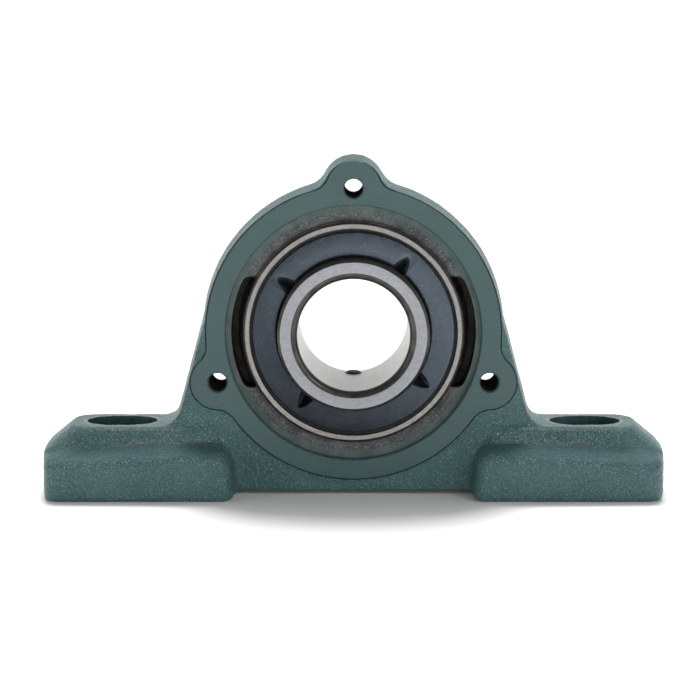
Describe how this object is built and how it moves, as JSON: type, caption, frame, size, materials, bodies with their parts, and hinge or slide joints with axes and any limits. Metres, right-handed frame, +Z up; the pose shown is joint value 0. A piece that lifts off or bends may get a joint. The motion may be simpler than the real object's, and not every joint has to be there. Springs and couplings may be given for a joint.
{
  "type": "mounted bearing",
  "caption": "Pillow block bearing unit: cast housing on two slotted feet with a self-aligning ball bearing insert, wide inner ring and set screws.",
  "frame": {"origin": "centre of the spherical seat, on the shaft's axis", "axes": "+Y along the shaft from the front to the rear, where the set screws are; +Z up from the feet; +X along the feet"},
  "size_m": [0.14, 0.0388, 0.0759],
  "materials": {
    "painted_casting": "grey-green paint over a rough casting, bare iron where it is turned",
    "ground_steel": "ground bearing steel",
    "ball_steel": "polished",
    "cage_steel": "pressed sheet",
    "shield_steel": "pressed sheet",
    "seal_rubber": "matte",
    "black_slinger": "blue-black satin coating on pressed steel",
    "black_screw": "black oxide"
  },
  "bodies": {
    "housing": {"housing": "painted_casting"},
    "outer_ring": {"outer_ring": "ground_steel", "front_seal_shield": "shield_steel", "front_seal_lip": "seal_rubber", "rear_seal_shield": "shield_steel", "rear_seal_lip": "seal_rubber"},
    "inner_ring": {"inner_ring": "ground_steel", "front_slinger": "black_slinger", "rear_slinger": "black_slinger"},
    "cage": {"cage_front": "cage_steel", "cage_rear": "cage_steel", "cage_rivets": "cage_steel"},
    "ball_1": {"ball_1": "ball_steel"},
    "ball_2": {"ball_2": "ball_steel"},
    "ball_3": {"ball_3": "ball_steel"},
    "ball_4": {"ball_4": "ball_steel"},
    "ball_5": {"ball_5": "ball_steel"},
    "ball_6": {"ball_6": "ball_steel"},
    "ball_7": {"ball_7": "ball_steel"},
    "ball_8": {"ball_8": "ball_steel"},
    "ball_9": {"ball_9": "ball_steel"},
    "set_screw_1": {"set_screw_1": "black_screw"},
    "set_screw_2": {"set_screw_2": "black_screw"}
  },
  "joints": [
    {"name": "self_align", "type": "hinge", "parent": "housing", "child": "outer_ring", "pos_m": [0, 0, 0], "axis": [1, 0, 0], "range_deg": [-3, 3]},
    {"name": "shaft_spin", "type": "hinge", "parent": "outer_ring", "child": "inner_ring", "pos_m": [0, 0, 0], "axis": [0, 1, 0], "continuous": true},
    {"name": "cage_orbit", "type": "hinge", "parent": "outer_ring", "child": "cage", "pos_m": [0, 0, 0], "axis": [0, 1, 0], "continuous": true},
    {"name": "ball_1_roll", "type": "hinge", "parent": "cage", "child": "ball_1", "pos_m": [0, 0, 0.01951], "axis": [0, 1, 0], "continuous": true},
    {"name": "ball_2_roll", "type": "hinge", "parent": "cage", "child": "ball_2", "pos_m": [-0.01254, 0, 0.01495], "axis": [0, 1, 0], "continuous": true},
    {"name": "ball_3_roll", "type": "hinge", "parent": "cage", "child": "ball_3", "pos_m": [-0.01921, 0, 0.00339], "axis": [0, 1, 0], "continuous": true},
    {"name": "ball_4_roll", "type": "hinge", "parent": "cage", "child": "ball_4", "pos_m": [-0.0169, 0, -0.00975], "axis": [0, 1, 0], "continuous": true},
    {"name": "ball_5_roll", "type": "hinge", "parent": "cage", "child": "ball_5", "pos_m": [-0.00667, 0, -0.01833], "axis": [0, 1, 0], "continuous": true},
    {"name": "ball_6_roll", "type": "hinge", "parent": "cage", "child": "ball_6", "pos_m": [0.00667, 0, -0.01833], "axis": [0, 1, 0], "continuous": true},
    {"name": "ball_7_roll", "type": "hinge", "parent": "cage", "child": "ball_7", "pos_m": [0.0169, 0, -0.00975], "axis": [0, 1, 0], "continuous": true},
    {"name": "ball_8_roll", "type": "hinge", "parent": "cage", "child": "ball_8", "pos_m": [0.01921, 0, 0.00339], "axis": [0, 1, 0], "continuous": true},
    {"name": "ball_9_roll", "type": "hinge", "parent": "cage", "child": "ball_9", "pos_m": [0.01254, 0, 0.01495], "axis": [0, 1, 0], "continuous": true},
    {"name": "set_screw_1_travel", "type": "slide", "parent": "inner_ring", "child": "set_screw_1", "axis": [0, 0, 1], "range_m": [-0.002, 0.0012]},
    {"name": "set_screw_2_travel", "type": "slide", "parent": "inner_ring", "child": "set_screw_2", "axis": [0.866, 0, -0.5], "range_m": [-0.002, 0.0012]}
  ],
  "couplings": [
    {"joint": "cage_orbit", "follows": "shaft_spin", "ratio": 0.3983},
    {"joint": "ball_1_roll", "follows": "shaft_spin", "ratio": -2.3561},
    {"joint": "ball_2_roll", "follows": "shaft_spin", "ratio": -2.3561},
    {"joint": "ball_3_roll", "follows": "shaft_spin", "ratio": -2.3561},
    {"joint": "ball_4_roll", "follows": "shaft_spin", "ratio": -2.3561},
    {"joint": "ball_5_roll", "follows": "shaft_spin", "ratio": -2.3561},
    {"joint": "ball_6_roll", "follows": "shaft_spin", "ratio": -2.3561},
    {"joint": "ball_7_roll", "follows": "shaft_spin", "ratio": -2.3561},
    {"joint": "ball_8_roll", "follows": "shaft_spin", "ratio": -2.3561},
    {"joint": "ball_9_roll", "follows": "shaft_spin", "ratio": -2.3561}
  ]
}
